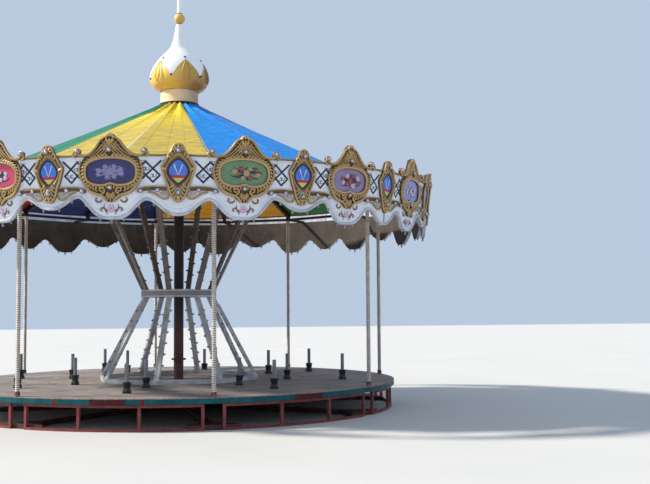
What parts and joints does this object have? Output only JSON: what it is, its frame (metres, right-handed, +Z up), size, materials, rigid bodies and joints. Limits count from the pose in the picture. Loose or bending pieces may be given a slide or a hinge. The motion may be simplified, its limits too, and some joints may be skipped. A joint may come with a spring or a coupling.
{
  "type": "fairground carousel",
  "caption": "Round children's ride with a turning deck, twisted poles, a pyramid canopy, crest boards with a scalloped valance and an onion finial, shown without its figures.",
  "frame": {"origin": "on the ground, on the axis of rotation", "axes": "+Z up along the mast; -Y towards the picture's viewpoint; +X to the viewer's right"},
  "size_m": [7.6706, 7.6706, 6.794],
  "materials": {
    "red_oxide_steel": "dull red oxide paint, worn and rusty",
    "mast_steel": "dark red-brown paint, dull",
    "strut_paint": "grey-white paint, semi-gloss",
    "deck_ply": "worn, dusty plywood",
    "rim_paint": "teal and red paint, worn to bare red-brown",
    "pole_brass": "dull brass sleeve with a rope twist",
    "board_shell": "gloss paint on fibreglass, gold ornament",
    "canopy_cloth": "coated cloth in coloured panels",
    "collar_paint": "cream and gold gloss paint",
    "bulb_paint": "gold and white gloss paint"
  },
  "bodies": {
    "base": {"base_beams_front": "red_oxide_steel", "base_beams_back": "red_oxide_steel", "centre_mast": "mast_steel", "base_frame_1": "red_oxide_steel", "base_frame_2": "red_oxide_steel", "base_frame_3": "red_oxide_steel", "base_frame_4": "red_oxide_steel", "base_frame_5": "red_oxide_steel", "base_frame_6": "red_oxide_steel", "base_frame_7": "red_oxide_steel", "base_frame_8": "red_oxide_steel"},
    "rotor": {"deck_joists": "red_oxide_steel", "lower_struts": "strut_paint", "upper_struts": "strut_paint", "roof_hub": "mast_steel", "canopy": "canopy_cloth", "finial_collar": "collar_paint", "finial_bulb": "bulb_paint", "deck_quarter_1": "deck_ply", "rim_quarter_1": "rim_paint", "deck_quarter_2": "deck_ply", "rim_quarter_2": "rim_paint", "deck_quarter_3": "deck_ply", "rim_quarter_3": "rim_paint", "deck_quarter_4": "deck_ply", "rim_quarter_4": "rim_paint", "outer_pole_1": "pole_brass", "roof_bay_1": "mast_steel", "crest_board_1": "board_shell", "outer_pole_2": "pole_brass", "roof_bay_2": "mast_steel", "crest_board_2": "board_shell", "outer_pole_3": "pole_brass", "roof_bay_3": "mast_steel", "crest_board_3": "board_shell", "outer_pole_4": "pole_brass", "roof_bay_4": "mast_steel", "crest_board_4": "board_shell", "outer_pole_5": "pole_brass", "roof_bay_5": "mast_steel", "crest_board_5": "board_shell", "outer_pole_6": "pole_brass", "roof_bay_6": "mast_steel", "crest_board_6": "board_shell", "outer_pole_7": "pole_brass", "roof_bay_7": "mast_steel", "crest_board_7": "board_shell", "outer_pole_8": "pole_brass", "roof_bay_8": "mast_steel", "crest_board_8": "board_shell"}
  },
  "joints": [
    {"name": "rotor_turn", "type": "hinge", "parent": "base", "child": "rotor", "pos_m": [0, 0, 0], "axis": [0, 0, 1], "continuous": true}
  ]
}
